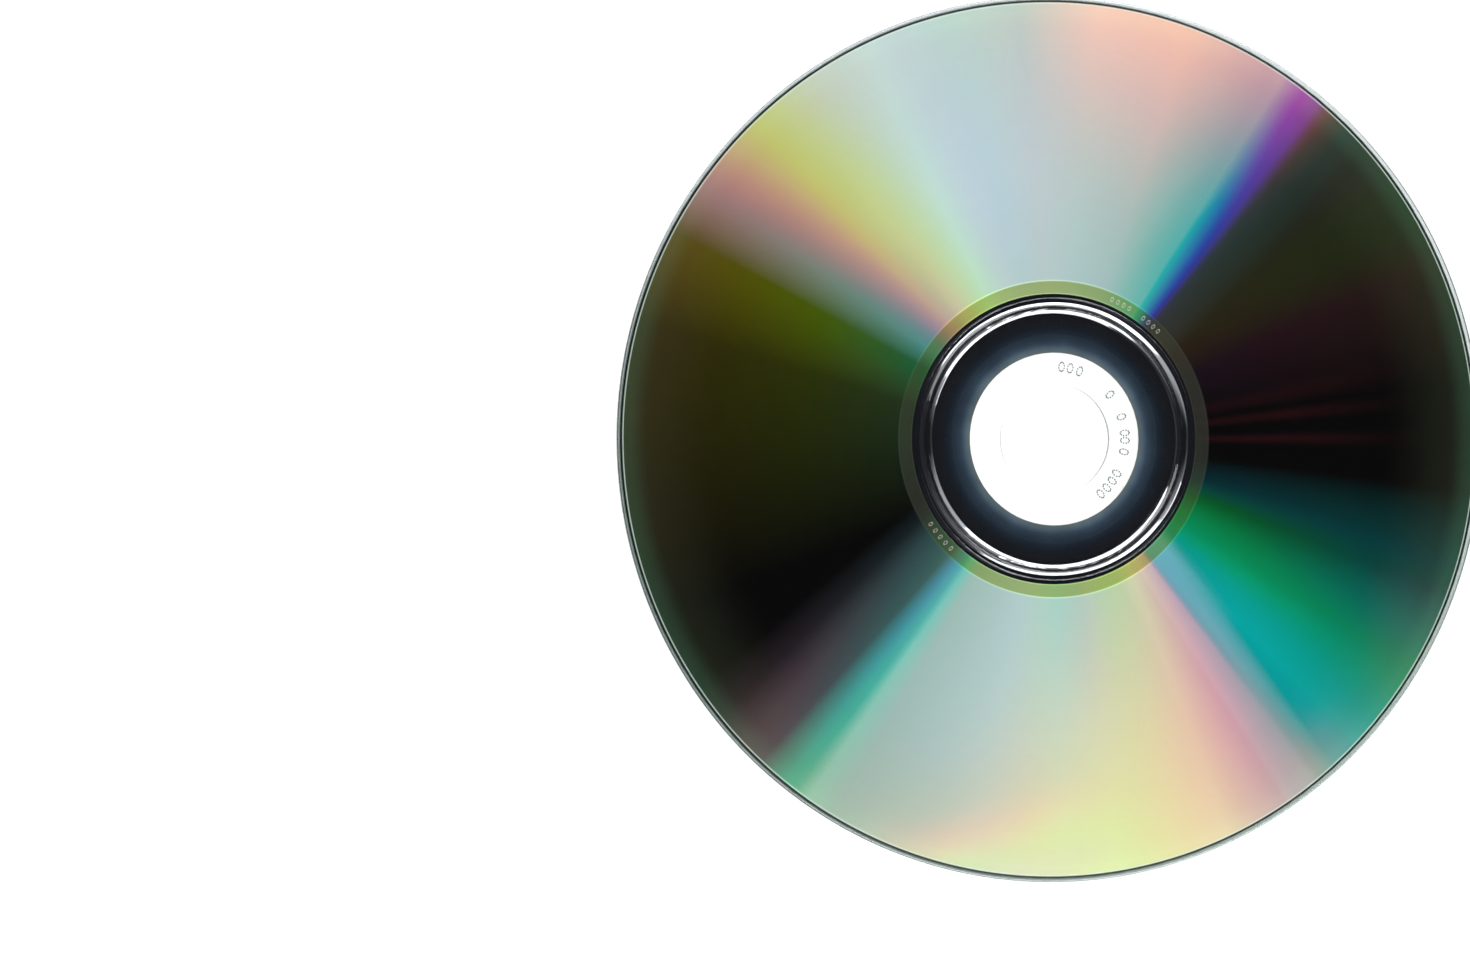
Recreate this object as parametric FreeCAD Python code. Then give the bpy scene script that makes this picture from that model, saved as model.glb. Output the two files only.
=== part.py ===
# A recordable compact disc of 120 mm. A clear moulded plate carries a dye layer, a metal
# mirror layer and a white label coat, one over the other, on its lower face.
# The disc lies with its label down. The origin is the middle of the label's face, +Z points
# up through the clear reading side, and all sizes are in millimetres.
import FreeCAD, Part
import os

# Driving dimensions of the moulded plate
plate_diameter = 120.0
plate_thickness = 1.2
hole_diameter = 15.0
hole_edge_radius = 0.15
rim_edge_radius = 0.2

# Stacking ring on the reading side, which keeps discs apart in a pile
ring_inner_diameter = 34.2
ring_crest_width = 0.8
ring_height = 0.2
ring_flank_width = 0.3
ring_crest_radius = 0.12

# Fine groove that the mould's centre insert leaves round the ring
witness_diameter = 38.2
witness_width = 0.3
witness_depth = 0.06

# Layers under the plate, from the label's face upwards
coat_thickness = 0.04
metal_thickness = 0.02
dye_thickness = 0.02
coat_inner_diameter = 23.2
coat_outer_diameter = 119.2
coat_inner_overlap = 0.1
coat_outer_overlap = 0.1
dye_inner_diameter = 39.4
dye_outer_margin = 0.2

# Levels above the face that the disc lies on
coat_top = coat_thickness
dye_bottom = coat_top + metal_thickness
plate_bottom = dye_bottom + dye_thickness
plate_top = plate_bottom + plate_thickness

# Radii that follow from the driving dimensions
hole_radius = hole_diameter / 2
plate_radius = plate_diameter / 2
coat_inner_radius = coat_inner_diameter / 2
coat_outer_radius = coat_outer_diameter / 2
metal_inner_radius = coat_inner_radius + coat_inner_overlap
metal_outer_radius = coat_outer_radius - coat_outer_overlap
dye_inner_radius = dye_inner_diameter / 2
dye_outer_radius = metal_outer_radius - dye_outer_margin


def revolved(outline):
    """A solid of revolution about Z from a closed outline of (radius, height) points."""
    corners = [FreeCAD.Vector(radius, 0, height) for radius, height in outline]
    wire = Part.makePolygon(corners + corners[:1])
    return Part.Face(wire).revolve(FreeCAD.Vector(0, 0, 0), FreeCAD.Vector(0, 0, 1), 360)


def circles_at(solid, places):
    """The circular edges of a solid that run round Z at the given (radius, height) places."""
    found = []
    for edge in solid.Edges:
        if not isinstance(edge.Curve, Part.Circle):
            continue
        here = FreeCAD.Vector(edge.Curve.Radius, 0, edge.Curve.Center.z)
        if any(here.distanceToPoint(FreeCAD.Vector(r, 0, z)) < 1e-6 for r, z in places):
            found.append(edge)
    return found


def make_substrate():
    """The clear plate, with its hole, stacking ring, witness groove and rounded edges."""
    foot_in = ring_inner_diameter / 2
    crest_in = foot_in + ring_flank_width
    crest_out = crest_in + ring_crest_width
    foot_out = crest_out + ring_flank_width
    crest_level = plate_top + ring_height
    witness_radius = witness_diameter / 2
    plate = revolved([
        (hole_radius, plate_bottom),
        (plate_radius, plate_bottom),
        (plate_radius, plate_top),
        (witness_radius + witness_width / 2, plate_top),
        (witness_radius, plate_top - witness_depth),
        (witness_radius - witness_width / 2, plate_top),
        (foot_out, plate_top),
        (crest_out, crest_level),
        (crest_in, crest_level),
        (foot_in, plate_top),
        (hole_radius, plate_top),
    ])
    hole_edges = [(hole_radius, plate_bottom), (hole_radius, plate_top)]
    rim_edges = [(plate_radius, plate_bottom), (plate_radius, plate_top)]
    crest_edges = [(crest_in, crest_level), (crest_out, crest_level)]
    plate = plate.makeFillet(hole_edge_radius, circles_at(plate, hole_edges))
    plate = plate.makeFillet(rim_edge_radius, circles_at(plate, rim_edges))
    return plate.makeFillet(ring_crest_radius, circles_at(plate, crest_edges))


def make_dye_layer():
    """The recording dye, a flat ring against the plate's lower face."""
    return revolved([
        (dye_inner_radius, dye_bottom),
        (dye_outer_radius, dye_bottom),
        (dye_outer_radius, plate_bottom),
        (dye_inner_radius, plate_bottom),
    ])


def make_metal_layer():
    """The mirror metal, which lies under the dye and meets the plate inside and outside it."""
    return revolved([
        (metal_inner_radius, coat_top),
        (metal_outer_radius, coat_top),
        (metal_outer_radius, plate_bottom),
        (dye_outer_radius, plate_bottom),
        (dye_outer_radius, dye_bottom),
        (dye_inner_radius, dye_bottom),
        (dye_inner_radius, plate_bottom),
        (metal_inner_radius, plate_bottom),
    ])


def make_label_coat():
    """The white printable coat, which seals the metal's lower face and both its edges."""
    return revolved([
        (coat_inner_radius, 0),
        (coat_outer_radius, 0),
        (coat_outer_radius, plate_bottom),
        (metal_outer_radius, plate_bottom),
        (metal_outer_radius, coat_top),
        (metal_inner_radius, coat_top),
        (metal_inner_radius, plate_bottom),
        (coat_inner_radius, plate_bottom),
    ])


pieces = {
    "substrate": make_substrate(),
    "dye_layer": make_dye_layer(),
    "metal_layer": make_metal_layer(),
    "label_coat": make_label_coat(),
}

os.makedirs("parts", exist_ok=True)
for name, piece in pieces.items():
    piece.exportStep("parts/" + name + ".step")
    print(name, "valid:", piece.isValid(), "volume:", round(piece.Volume, 3), "mm3")
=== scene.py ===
"""Looks of a recordable compact disc that lies label down, with its rainbow side up.

Lengths are in millimetres and angles in degrees unless a name or a docstring says otherwise.
"""
import logging
import math
from dataclasses import dataclass, field
from enum import Enum

import bpy
from mathutils import Matrix, Vector


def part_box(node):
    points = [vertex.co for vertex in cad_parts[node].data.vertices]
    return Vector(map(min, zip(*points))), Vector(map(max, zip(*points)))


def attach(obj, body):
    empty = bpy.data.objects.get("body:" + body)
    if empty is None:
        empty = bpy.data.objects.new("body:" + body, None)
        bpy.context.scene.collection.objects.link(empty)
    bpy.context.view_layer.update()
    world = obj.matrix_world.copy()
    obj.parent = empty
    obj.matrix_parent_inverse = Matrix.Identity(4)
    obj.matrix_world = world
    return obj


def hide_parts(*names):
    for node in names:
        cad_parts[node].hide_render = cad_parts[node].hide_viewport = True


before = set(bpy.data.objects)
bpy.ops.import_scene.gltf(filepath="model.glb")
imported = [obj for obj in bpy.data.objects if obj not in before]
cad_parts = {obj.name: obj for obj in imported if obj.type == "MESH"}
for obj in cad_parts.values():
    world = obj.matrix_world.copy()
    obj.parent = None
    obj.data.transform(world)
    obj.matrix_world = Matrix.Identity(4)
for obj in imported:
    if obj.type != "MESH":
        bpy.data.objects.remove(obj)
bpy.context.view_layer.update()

MM = 0.001
BODY = "root"
LOG = logging.getLogger("compact_disc")
HALF_TURN = 180.0
FULL_TURN = 360.0

Socket = bpy.types.NodeSocket
Tree = bpy.types.NodeTree
Sockets = dict[str, Socket]
Value = float | Socket
Point = tuple[float, float]
Span = tuple[float, float]
Place = tuple[float, float, float]
Colour = tuple[float, float, float]

BLACK: Colour = (0.0, 0.0, 0.0)
WHITE: Colour = (1.0, 1.0, 1.0)


class Wiring:
    """Adds nodes to a tree and joins them, so that a formula reads from left to right."""

    def __init__(self, tree: Tree) -> None:
        """Takes the tree that the nodes go into."""
        self.tree = tree

    def node(self, kind: str, **settings: object) -> bpy.types.Node:
        """Adds a node.

        Args:
            kind: the node's type name in Blender.
            **settings: properties to set on it.

        Returns:
            The new node.
        """
        made = self.tree.nodes.new(kind)
        for name, value in settings.items():
            setattr(made, name, value)
        return made

    def feed(self, target: Socket, value: object) -> None:
        """Joins a socket to an input, or sets the input to a plain value.

        Args:
            target: the input.
            value: the socket to join to it, or its value.
        """
        if isinstance(value, Socket):
            self.tree.links.new(value, target)
        else:
            target.default_value = value

    def math(self, operation: str, *values: Value, clamp: bool = False) -> Socket:
        """Adds a Math node.

        Args:
            operation: what it works out.
            *values: its inputs, in order.
            clamp: whether its result is kept from 0 to 1.

        Returns:
            Its result.
        """
        made = self.node("ShaderNodeMath", operation=operation, use_clamp=clamp)
        for target, value in zip(made.inputs, values):
            self.feed(target, value)
        return made.outputs[0]

    def vector_node(self, operation: str, *values: object) -> bpy.types.Node:
        """Adds a Vector Math node.

        Args:
            operation: what it works out.
            *values: its inputs, in order.

        Returns:
            The new node.
        """
        made = self.node("ShaderNodeVectorMath", operation=operation)
        for target, value in zip(made.inputs, values):
            self.feed(target, value)
        return made

    def vector(self, operation: str, *values: object) -> Socket:
        """The result of Vector Math that gives a vector or a colour."""
        return self.vector_node(operation, *values).outputs["Vector"]

    def measure(self, operation: str, *values: object) -> Socket:
        """The result of Vector Math that gives a number, such as a length or a dot product."""
        return self.vector_node(operation, *values).outputs["Value"]

    def scaled(self, colour: object, factor: Value) -> Socket:
        """Multiplies a vector or colour by a number.

        Args:
            colour: the vector or colour.
            factor: the number.

        Returns:
            The product.
        """
        made = self.vector_node("SCALE", colour)
        self.feed(made.inputs["Scale"], factor)
        return made.outputs["Vector"]

    def axes(self, place: Socket) -> Sockets:
        """Takes a vector apart.

        Args:
            place: the vector.

        Returns:
            Its parts by name: X, Y and Z.
        """
        made = self.node("ShaderNodeSeparateXYZ")
        self.feed(made.inputs[0], place)
        return made.outputs

    def step(self, value: Value, low: float, high: float) -> Socket:
        """Adds a smooth step.

        Args:
            value: where to read it.
            low: the value at which it is 0.
            high: the value at which it is 1, which may be the smaller of the two.

        Returns:
            Its height there.
        """
        made = self.node("ShaderNodeMapRange", interpolation_type="SMOOTHSTEP")
        self.feed(made.inputs["Value"], value)
        made.inputs["From Min"].default_value = min(low, high)
        made.inputs["From Max"].default_value = max(low, high)
        made.inputs["To Min"].default_value = 0.0 if low < high else 1.0
        made.inputs["To Max"].default_value = 1.0 if low < high else 0.0
        return made.outputs["Result"]

    def bell(self, value: Value, centre: float, half_width: float) -> Socket:
        """A smooth bump of height 1 at centre that ends half_width to each side."""
        away = self.math("ABSOLUTE", self.math("SUBTRACT", value, centre))
        return self.step(away, half_width, 0.0)

    def mix(self, factor: Value, first: object, second: object, blend: str = "MIX") -> Socket:
        """Mixes two colours.

        Args:
            factor: how much of the second one goes in.
            first: the first colour, as a socket or as (r, g, b).
            second: the second one.
            blend: how they go together.

        Returns:
            The mixed colour.
        """
        made = self.node("ShaderNodeMix", data_type="RGBA", blend_type=blend)
        self.feed(made.inputs["Factor"], factor)
        for name, colour in (("A", first), ("B", second)):
            target = next(s for s in made.inputs if s.name == name and s.type == "RGBA")
            self.feed(target, colour if isinstance(colour, Socket) else (*colour, 1.0))
        return next(s for s in made.outputs if s.type == "RGBA")

    def weighted(self, colour: Socket, weight: Value) -> Socket:
        """Multiplies a colour by a number as a mix with black, which keeps a large shader small.

        Args:
            colour: the colour.
            weight: the number, which may be above 1.

        Returns:
            The product.
        """
        made = self.mix(weight, BLACK, colour)
        made.node.clamp_factor = False
        return made

    def ramp(self, factor: Value, stops: list[tuple[float, Colour]]) -> Socket:
        """Adds a colour ramp.

        Args:
            factor: where to read it, from 0 to 1.
            stops: the place and colour of each stop, in order.

        Returns:
            The colour at that place.
        """
        made = self.node("ShaderNodeValToRGB")
        elements = made.color_ramp.elements
        elements[0].position = stops[0][0]
        elements[1].position = stops[-1][0]
        for place, _ in stops[1:-1]:
            elements.new(place)
        for element, (_, colour) in zip(elements, stops):
            element.color = (*colour, 1.0)
        self.feed(made.inputs["Fac"], factor)
        return made.outputs["Color"]

    def noise(self, place: Socket, scale: Value, detail: float = 2.0) -> Socket:
        """Adds a cloudy noise.

        Args:
            place: where to read it, as a vector, or as a number for noise along a line.
            scale: how fine it is.
            detail: how many finer layers it has.

        Returns:
            Its height, from 0 to 1.
        """
        along_line = place.type == "VALUE"
        made = self.node("ShaderNodeTexNoise", noise_dimensions="1D" if along_line else "3D")
        self.feed(made.inputs["W" if along_line else "Vector"], place)
        self.feed(made.inputs["Scale"], scale)
        made.inputs["Detail"].default_value = detail
        return made.outputs["Fac"]

    def attribute(self, name: str) -> Socket:
        """Reads a number that each point of a mesh carries.

        Args:
            name: the number's name on the mesh.

        Returns:
            The number.
        """
        made = self.node("GeometryNodeInputNamedAttribute", data_type="FLOAT")
        made.inputs["Name"].default_value = name
        return made.outputs["Attribute"]

    def group(self, tree: Tree, **values: object) -> Sockets:
        """Adds a node group.

        Args:
            tree: the group.
            **values: its inputs by name, where _ stands for a space.

        Returns:
            Its outputs by name.
        """
        made = self.node("ShaderNodeGroup", node_tree=tree)
        for name, value in values.items():
            self.feed(made.inputs[name.replace("_", " ")], value)
        return made.outputs


def shader_group(name: str, inputs: dict[str, str],
                 outputs: dict[str, str]) -> tuple[Wiring, Sockets, Sockets]:
    """Starts a shader node group.

    Args:
        name: the group's name.
        inputs: each input's name and its kind, Float, Vector or Color.
        outputs: each output's name and its kind.

    Returns:
        Its wiring, its input sockets by name and its output sockets by name.
    """
    tree = bpy.data.node_groups.new(name, "ShaderNodeTree")
    for side, sockets in (("INPUT", inputs), ("OUTPUT", outputs)):
        for label, kind in sockets.items():
            tree.interface.new_socket(label, in_out=side, socket_type="NodeSocket" + kind)
    wiring = Wiring(tree)
    given = wiring.node("NodeGroupInput").outputs
    wanted = wiring.node("NodeGroupOutput").inputs
    return wiring, given, wanted


def place_group() -> Tree:
    """Builds the group that says where a point of the disc is, from its Object coordinates.

    Returns:
        The group, which gives the place without its height, its radius and its angle.
    """
    wiring, _, out = shader_group(
        "Place on disc", {}, {"Flat": "Vector", "Radius": "Float", "Angle": "Float"})
    place = wiring.scaled(wiring.node("ShaderNodeTexCoord").outputs["Object"], 1.0 / MM)
    flat = wiring.vector("MULTIPLY", place, (1.0, 1.0, 0.0))
    axes = wiring.axes(flat)
    wiring.feed(out["Flat"], flat)
    wiring.feed(out["Radius"], wiring.measure("LENGTH", flat))
    turn = wiring.math("ARCTAN2", axes["Y"], axes["X"])
    round_share = wiring.math("FRACT", wiring.math("DIVIDE", turn, 2.0 * math.pi))
    wiring.feed(out["Angle"], wiring.math("MULTIPLY", round_share, FULL_TURN))
    return wiring.tree


def ripple_group() -> Tree:
    """Builds the group for fine rings round the axis, as a spun film has them.

    Returns:
        The group, which gives a shade that lies round 1.
    """
    wiring, given, out = shader_group(
        "Fine rings", {"Radius": "Float", "Rings per mm": "Float", "Strength": "Float"}, {"Shade": "Float"})
    noise = wiring.noise(given["Radius"], given["Rings per mm"], detail=3.0)
    centred = wiring.math("SUBTRACT", noise, 0.5)
    wiring.feed(out["Shade"], wiring.math("MULTIPLY_ADD", centred, given["Strength"], 1.0))
    return wiring.tree


@dataclass(frozen=True)
class HairSet:
    """A set of hairline scratches that run the same way.

    Attributes:
        angle: the way that they run.
        stretch: the noise's scale along them, as a share of that across them.
        offset: how far the noise is moved, so that no two sets look alike.
    """

    angle: float
    stretch: float
    offset: float


@dataclass(frozen=True)
class Handling:
    """Traces of handling: hairline scratches, dust specks and faint smears.

    Attributes:
        hair_sets: the sets of hairlines.
        hair_scale: scale of the noise that the hairlines follow.
        hair_half: half a hairline's width, as a share of that noise's height.
        patch_scale: scale of the noise that keeps the hairlines in patches.
        patch_span: its height where a patch begins and where it is full.
        speck_scale: scale of the cells that hold one dust speck each.
        speck_span: a speck's outer and inner radius, as shares of its cell.
        smear_scale: scale of the smears.
        smear_detail: how many finer layers they have.
        smear_span: the noise's height where a smear begins and where it is full.
    """

    hair_sets: tuple[HairSet, ...] = (
        HairSet(20.0, 0.012, 3.0), HairSet(75.0, 0.01, 11.0), HairSet(140.0, 0.014, 23.0))
    hair_scale: float = 1.6
    hair_half: float = 0.0025
    patch_scale: float = 0.35
    patch_span: Span = (0.56, 0.66)
    speck_scale: float = 0.18
    speck_span: Span = (0.014, 0.006)
    smear_scale: float = 0.05
    smear_detail: float = 5.0
    smear_span: Span = (0.45, 0.75)

    def group(self) -> Tree:
        """Builds the group.

        Returns:
            The group, which gives the scratches and specks as Mark and the smears as Smear.
        """
        wiring, given, out = shader_group(
            "Handling", {"Flat": "Vector", "Scratches": "Float", "Smears": "Float"},
            {"Mark": "Float", "Smear": "Float"})
        lines: Value = 0.0
        for hairs in self.hair_sets:
            lines = wiring.math("MAXIMUM", lines, self.hairlines(wiring, given["Flat"], hairs))
        cells = wiring.node("ShaderNodeTexVoronoi", feature="F1")
        wiring.feed(cells.inputs["Vector"], given["Flat"])
        cells.inputs["Scale"].default_value = self.speck_scale
        specks = wiring.step(cells.outputs["Distance"], *self.speck_span)
        mark = wiring.math("MAXIMUM", lines, specks)
        wiring.feed(out["Mark"], wiring.math("MULTIPLY", mark, given["Scratches"]))
        smear = wiring.noise(given["Flat"], self.smear_scale, self.smear_detail)
        cloud = wiring.step(smear, *self.smear_span)
        wiring.feed(out["Smear"], wiring.math("MULTIPLY", cloud, given["Smears"]))
        return wiring.tree

    def hairlines(self, wiring: Wiring, place: Socket, hairs: HairSet) -> Socket:
        """Draws one set of hairlines, in patches.

        Args:
            wiring: the group's wiring.
            place: the place on the disc.
            hairs: the set.

        Returns:
            How strong a hairline is there, from 0 to 1.
        """
        turned = wiring.node("ShaderNodeMapping")
        wiring.feed(turned.inputs["Vector"], place)
        turned.inputs["Location"].default_value = (hairs.offset, -hairs.offset, 0.0)
        turned.inputs["Rotation"].default_value = (0.0, 0.0, math.radians(hairs.angle))
        turned.inputs["Scale"].default_value = (hairs.stretch, 1.0, 1.0)
        hair = wiring.bell(wiring.noise(turned.outputs["Vector"], self.hair_scale), 0.5, self.hair_half)
        patch = wiring.step(wiring.noise(turned.outputs["Vector"], self.patch_scale), *self.patch_span)
        return wiring.math("MULTIPLY", hair, patch)


class Side(Enum):
    """The side of a groove from which light reaches it, as the way that the light moves with radius."""

    OUTER = -1.0
    INNER = 1.0


@dataclass(frozen=True)
class Slice:
    """The light that reaches the groove at one angle round the disc.

    Attributes:
        angle: the angle, counter-clockwise from +X.
        near: how far the light's near edge lies from the mirror direction, in direction cosines.
        far: the same for its far edge.
        bright: how bright the light is between them.
    """

    angle: float
    near: float
    far: float
    bright: float


@dataclass(frozen=True)
class Fan:
    """A fan of painted diffraction light on the disc, which fades in from its start and out to its end.

    Attributes:
        name: the fan's name.
        side: the side that its light comes from.
        start: the angle where it begins.
        end: the angle where it ends.
        slices: the light at angles between them, in order.
        flare: how much each side of the fan opens towards the hub, in degrees times millimetres.
        pace: how fast its colours change with radius, next to those of a distant light.
        inner: the radius round which it fades in, or 0 where it begins at the hub.
    """

    name: str
    side: Side
    start: float
    end: float
    slices: tuple[Slice, ...]
    flare: float = 0.0
    pace: float = 1.0
    inner: float = 0.0


UPPER_LEFT = Fan("upper left", Side.OUTER, 84, 152, (
    Slice(95, 0.295, 0.925, 0.47), Slice(116, 0.315, 1.05, 0.63),
    Slice(134, 0.385, 0.90, 0.60), Slice(145, 0.45, 1.03, 0.38)))
UPPER_RIGHT = Fan("upper right", Side.OUTER, 46, 95, (
    Slice(48.5, 0.472, 0.56, 0.36), Slice(51, 0.47, 0.66, 1.22), Slice(57, 0.455, 0.78, 1.70),
    Slice(71, 0.445, 0.815, 1.75), Slice(84, 0.45, 0.825, 1.70)))
LEFT = Fan("left", Side.INNER, 58, 205, (
    Slice(95, 0.20, 0.74, 0.28), Slice(130, 0.245, 0.34, 0.27),
    Slice(154, 0.255, 0.345, 0.16), Slice(165, 0.255, 0.36, 0.05)), flare=160)
LOWER_LEFT = Fan("lower left", Side.INNER, 227, 239, (
    Slice(231, 0.485, 0.64, 1.15), Slice(235, 0.475, 0.705, 1.10)))
LOWER = Fan("lower", Side.INNER, 233, 309, (
    Slice(239, 0.20, 0.76, 0.39), Slice(258, 0.221, 0.83, 0.43), Slice(271, 0.222, 0.69, 0.41),
    Slice(280, 0.235, 0.67, 0.32), Slice(295, 0.29, 0.695, 0.375), Slice(304, 0.325, 0.72, 0.65)))
LOWER_PINK = Fan("lower pink", Side.OUTER, 212, 314, (
    Slice(217, 0.44, 1.07, 0.03), Slice(222, 0.44, 1.09, 0.12), Slice(229, 0.46, 1.12, 0.21),
    Slice(234, 0.48, 1.15, 0.32), Slice(280, 0.415, 1.145, 0.71), Slice(296, 0.42, 1.145, 0.72),
    Slice(304, 0.425, 1.05, 0.51), Slice(310, 0.43, 1.03, 0.32)), flare=320)
LIME = Fan("lime", Side.OUTER, 243, 284, (
    Slice(249, 1.03, 1.10, 0.20), Slice(255, 1.00, 1.07, 0.28), Slice(260, 0.97, 1.04, 0.21),
    Slice(266, 0.94, 1.01, 0.17), Slice(273, 0.91, 0.98, 0.11)), pace=8.5, inner=44)
LOWER_GLEAM = Fan("lower gleam", Side.OUTER, 305, 319, (
    Slice(310, 0.43, 0.60, 0.20), Slice(313, 0.43, 0.62, 0.14), Slice(316, 0.43, 0.60, 0.05)), inner=54)
TEAL = Fan("teal", Side.INNER, 303, 353, (
    Slice(308, 0.342, 0.675, 0.88), Slice(311, 0.388, 0.67, 1.12), Slice(315, 0.46, 0.665, 1.05),
    Slice(325, 0.525, 0.665, 1.00), Slice(339, 0.55, 0.67, 0.22), Slice(346, 0.42, 0.665, 0.12)))
GREEN = Fan("green", Side.OUTER, 309, 345, (
    Slice(316, 0.29, 0.415, 0.27), Slice(328, 0.34, 0.38, 0.23), Slice(334, 0.345, 0.365, 0.40)))
RIGHT_DUSK = Fan("right dusk", Side.OUTER, 8, 54, (
    Slice(25, 0.41, 0.71, 0.03), Slice(41, 0.35, 0.89, 0.022)))
RIGHT_GLEAM = Fan("right gleam", Side.INNER, 40, 60, (Slice(53, 0.36, 1.02, 0.095),), flare=220)


@dataclass(frozen=True)
class Rainbow:
    """The colours that a fine spiral groove spreads out of white light, painted in as fixed colours: a
    painted reflection of the lamps, dark where none of their light reaches.

    A groove with a pitch p sends a wavelength w of a light to the eye where the light lies w/p, 2w/p or
    3w/p from the mirror direction, straight across the groove. So each point of the disc shows the part
    of the spectrum between the near and the far edge of a light. Further out on the disc the mirror
    direction has moved, towards a light on the outer side and away from one on the inner side.

    Attributes:
        pitch: the groove's pitch, in nanometres.
        orders: how strong each order of the spectrum is.
        softness: how soft the lights' edges are, in direction cosines.
        spread: how much the mirror direction moves for each millimetre of radius.
        tint: the colour of the dye and metal together.
        haze: the dull light that the film sends back everywhere.
        middle_radius: radius at which the fans have the angles that they are given.
        fade_in: half the width over which a fan with an inner radius fades in.
        fans: the fans of colour.
        VIOLET, RED: the shortest and longest wavelength that the eye sees, in nanometres.
        STOPS: how many stops the ramp of the first order has.
        FINE_STEPS: how many wavelengths are added up for them.
        MOST_REACH, MOST_BRIGHT: the largest edge and brightness that a fan's ramp can hold.
        EYE_LOBES: the bell curves that add up to the eye's three curves, each with its height, its peak
            and its width below and above the peak, in nanometres.
        TO_RGB: the matrix from the eye's three values to linear red, green and blue.
    """

    pitch: float = 1600.0
    orders: tuple[float, ...] = (1.0, 0.45, 0.53)
    softness: float = 0.0095
    spread: float = 0.001353
    tint: Colour = (0.485, 0.54, 0.47)
    haze: Colour = (0.0024, 0.0022, 0.0022)
    middle_radius: float = 40.0
    fade_in: float = 4.0
    fans: tuple[Fan, ...] = (
        UPPER_LEFT, UPPER_RIGHT, LEFT, LOWER_LEFT, LOWER, LOWER_PINK, LIME, LOWER_GLEAM,
        TEAL, GREEN, RIGHT_DUSK, RIGHT_GLEAM)

    VIOLET = 350.0
    RED = 800.0
    STOPS = 32
    FINE_STEPS = 900
    MOST_REACH = 1.2
    MOST_BRIGHT = 2.0
    EYE_LOBES = (
        ((1.056, 599.8, 37.9, 31.0), (0.362, 442.0, 16.0, 26.7), (-0.065, 501.1, 20.4, 26.2)),
        ((0.821, 568.8, 46.9, 40.5), (0.286, 530.9, 16.3, 31.1)),
        ((1.217, 437.0, 11.8, 36.0), (0.681, 459.0, 26.0, 13.8)),
    )
    TO_RGB = ((3.2406, -1.5372, -0.4986), (-0.9689, 1.8758, 0.0415), (0.0557, -0.2040, 1.0570))

    def colour_of(self, wavelength: float) -> Vector:
        """Works out the colour of one wavelength, by the usual bell curves for the eye.

        Args:
            wavelength: the wavelength in nanometres.

        Returns:
            Its linear red, green and blue.
        """
        eye = Vector(BLACK)
        for axis, lobes in enumerate(self.EYE_LOBES):
            for height, peak, below, above in lobes:
                width = below if wavelength < peak else above
                eye[axis] += height * math.exp(-0.5 * ((wavelength - peak) / width) ** 2)
        return Matrix(self.TO_RGB) @ eye

    def spectrum_stops(self) -> tuple[list[tuple[float, Colour]], float]:
        """Adds up the first order of the spectrum from violet to red, with white as (1, 1, 1).

        Returns:
            The ramp's stops, with colours from 0 to 1, and the factor that brings them back to size.
        """
        step = (self.RED - self.VIOLET) / self.FINE_STEPS
        lengths = [self.VIOLET + step * (index + 0.5) for index in range(self.FINE_STEPS)]
        colours = [self.colour_of(length) for length in lengths]
        white = sum(colours, Vector(BLACK))
        blur = self.softness * self.pitch
        sums = []
        for stop in range(self.STOPS):
            edge = self.VIOLET + (self.RED - self.VIOLET) * stop / (self.STOPS - 1)
            total = Vector(BLACK)
            for length, colour in zip(lengths, colours):
                passed = 0.5 + 0.5 * math.erf((edge - length) / (blur * math.sqrt(2.0)))
                total += colour * passed
            sums.append([total[axis] / white[axis] for axis in range(3)])
        low = min(min(colour) for colour in sums)
        span = max(max(colour) for colour in sums) - low
        stops = [(index / (self.STOPS - 1), tuple((part - low) / span for part in colour))
                 for index, colour in enumerate(sums)]
        return stops, span

    def order_group(self) -> Tree:
        """Builds the group for the first order of the spectrum, added up to a distance.

        Returns:
            The group, which takes the distance from the mirror direction.
        """
        stops, span = self.spectrum_stops()
        wiring, given, out = shader_group("First order so far", {"Distance": "Float"}, {"Colour": "Color"})
        length = wiring.math("MULTIPLY", given["Distance"], self.pitch)
        share = wiring.math("DIVIDE", wiring.math("SUBTRACT", length, self.VIOLET), self.RED - self.VIOLET)
        wiring.feed(out["Colour"], wiring.weighted(wiring.ramp(share, stops), span))
        return wiring.tree

    def summed_group(self) -> Tree:
        """Builds the group for all orders of the spectrum, added up to a distance.

        Returns:
            The group, which takes the distance from the mirror direction.
        """
        first = self.order_group()
        wiring, given, out = shader_group("Spectrum so far", {"Distance": "Float"}, {"Colour": "Color"})
        total: object = BLACK
        for order, strength in enumerate(self.orders, start=1):
            distance = wiring.math("DIVIDE", given["Distance"], float(order))
            part = wiring.group(first, Distance=distance)["Colour"]
            total = wiring.mix(strength, total, part, "ADD")
        wiring.feed(out["Colour"], total)
        return wiring.tree

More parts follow.
